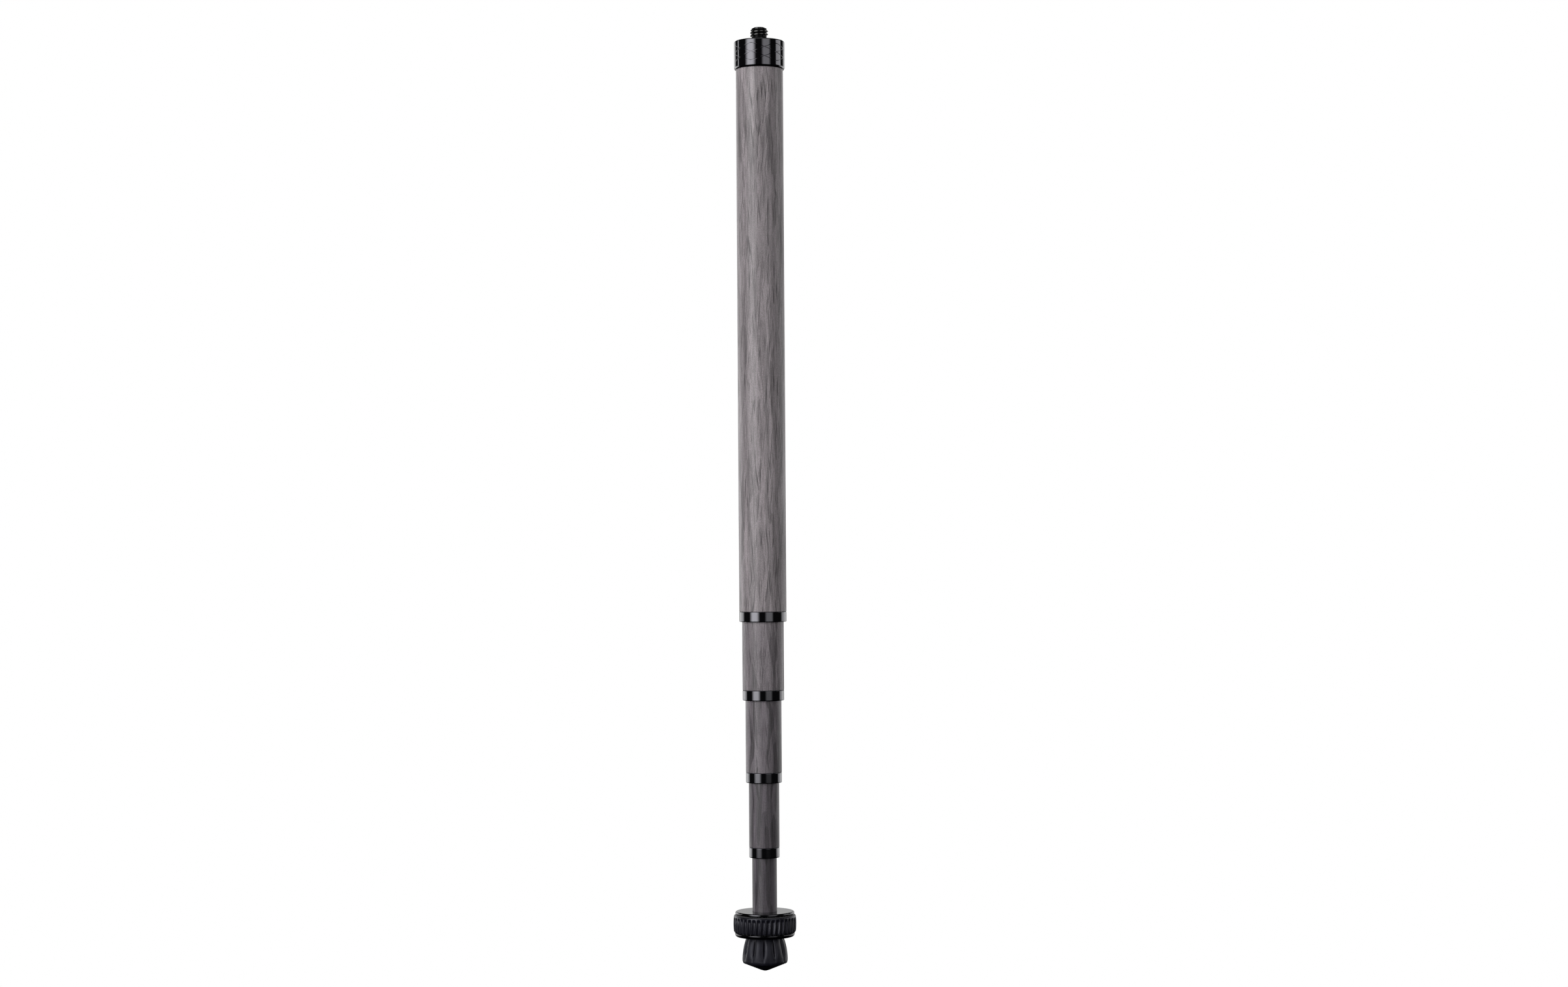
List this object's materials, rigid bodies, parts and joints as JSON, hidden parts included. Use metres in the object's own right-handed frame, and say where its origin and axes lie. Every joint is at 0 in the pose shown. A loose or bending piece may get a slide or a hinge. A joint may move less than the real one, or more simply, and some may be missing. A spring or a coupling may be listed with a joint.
{
  "type": "telescoping camera monopod",
  "caption": "Slim telescoping camera pole with stepped carbon tubes, a threaded stud on a flat platform, a ribbed grip wheel and a fluted pointed rubber foot.",
  "frame": {"origin": "centre of the platform that the camera sits on, on the pole's axis", "axes": "+Z along the pole, from the foot towards the camera; X and Y across it"},
  "size_m": [0.0332, 0.0332, 0.4992],
  "materials": {
    "carbon_tube": "satin grey carbon fibre laminate with fibres along the tube",
    "black_metal": "turned, polished and black anodised",
    "stud_steel": "rolled thread, black oxide",
    "rubber": "matte moulded black rubber",
    "lock_alloy": "as turned",
    "lock_steel": "zinc plated",
    "lock_plastic": "moulded acetal"
  },
  "bodies": {
    "top_section": {"cap": "black_metal", "camera_stud": "stud_steel", "bumper": "rubber", "tube_1": "carbon_tube", "collar_1": "black_metal", "guide_bush_1": "lock_plastic"},
    "lock_2": {"expander_2": "lock_plastic"},
    "wedge_2": {"wedge_2": "lock_alloy"},
    "section_2": {"tube_2": "carbon_tube", "lock_plug_2": "lock_alloy", "spindle_2": "lock_steel", "lock_nut_2": "lock_steel", "collar_2": "black_metal", "guide_bush_2": "lock_plastic"},
    "lock_3": {"expander_3": "lock_plastic"},
    "wedge_3": {"wedge_3": "lock_alloy"},
    "section_3": {"tube_3": "carbon_tube", "lock_plug_3": "lock_alloy", "spindle_3": "lock_steel", "lock_nut_3": "lock_steel", "collar_3": "black_metal", "guide_bush_3": "lock_plastic"},
    "lock_4": {"expander_4": "lock_plastic"},
    "wedge_4": {"wedge_4": "lock_alloy"},
    "section_4": {"tube_4": "carbon_tube", "lock_plug_4": "lock_alloy", "spindle_4": "lock_steel", "lock_nut_4": "lock_steel", "collar_4": "black_metal", "guide_bush_4": "lock_plastic"},
    "lock_5": {"expander_5": "lock_plastic"},
    "wedge_5": {"wedge_5": "lock_alloy"},
    "section_5": {"tube_5": "carbon_tube", "lock_plug_5": "lock_alloy", "spindle_5": "lock_steel", "lock_nut_5": "lock_steel", "wheel_hub": "black_metal", "wheel_band": "rubber"},
    "foot_washer": {"foot_washer": "lock_plastic"},
    "foot": {"foot_stud": "lock_steel", "foot_rubber": "rubber"}
  },
  "joints": [
    {"name": "extend_2", "type": "slide", "parent": "top_section", "child": "lock_2", "axis": [0, 0, -1], "range_m": [-0.0361, 0.2155]},
    {"name": "twist_2", "type": "hinge", "parent": "lock_2", "child": "section_2", "pos_m": [0, 0, -0.0716], "axis": [0, 0, -1], "range_deg": [0, 270]},
    {"name": "wedge_shift_2", "type": "slide", "parent": "lock_2", "child": "wedge_2", "axis": [0, 0, 1], "range_m": [0, 0.0006]},
    {"name": "extend_3", "type": "slide", "parent": "section_2", "child": "lock_3", "axis": [0, 0, -1], "range_m": [-0.038, 0.1856]},
    {"name": "twist_3", "type": "hinge", "parent": "lock_3", "child": "section_3", "pos_m": [0, 0, -0.1431], "axis": [0, 0, -1], "range_deg": [0, 270]},
    {"name": "wedge_shift_3", "type": "slide", "parent": "lock_3", "child": "wedge_3", "axis": [0, 0, 1], "range_m": [0, 0.0006]},
    {"name": "extend_4", "type": "slide", "parent": "section_3", "child": "lock_4", "axis": [0, 0, -1], "range_m": [-0.0341, 0.1613]},
    {"name": "twist_4", "type": "hinge", "parent": "lock_4", "child": "section_4", "pos_m": [0, 0, -0.2107], "axis": [0, 0, -1], "range_deg": [0, 270]},
    {"name": "wedge_shift_4", "type": "slide", "parent": "lock_4", "child": "wedge_4", "axis": [0, 0, 1], "range_m": [0, 0.0006]},
    {"name": "extend_5", "type": "slide", "parent": "section_4", "child": "lock_5", "axis": [0, 0, -1], "range_m": [-0.0283, 0.139]},
    {"name": "twist_5", "type": "hinge", "parent": "lock_5", "child": "section_5", "pos_m": [0, 0, -0.2725], "axis": [0, 0, -1], "range_deg": [0, 270]},
    {"name": "wedge_shift_5", "type": "slide", "parent": "lock_5", "child": "wedge_5", "axis": [0, 0, 1], "range_m": [0, 0.0006]},
    {"name": "foot_travel", "type": "slide", "parent": "section_5", "child": "foot_washer", "axis": [0, 0, -1], "range_m": [0, 0.005]},
    {"name": "foot_turn", "type": "hinge", "parent": "foot_washer", "child": "foot", "pos_m": [0, 0, -0.4917], "axis": [0, 0, -1], "range_deg": [0, 1440]}
  ],
  "couplings": [
    {"joint": "wedge_shift_2", "follows": "twist_2", "m_per_rad": 0.00012732},
    {"joint": "wedge_shift_3", "follows": "twist_3", "m_per_rad": 0.00012732},
    {"joint": "wedge_shift_4", "follows": "twist_4", "m_per_rad": 0.00012732},
    {"joint": "wedge_shift_5", "follows": "twist_5", "m_per_rad": 0.00012732},
    {"joint": "foot_travel", "follows": "foot_turn", "m_per_rad": 0.00019894}
  ]
}
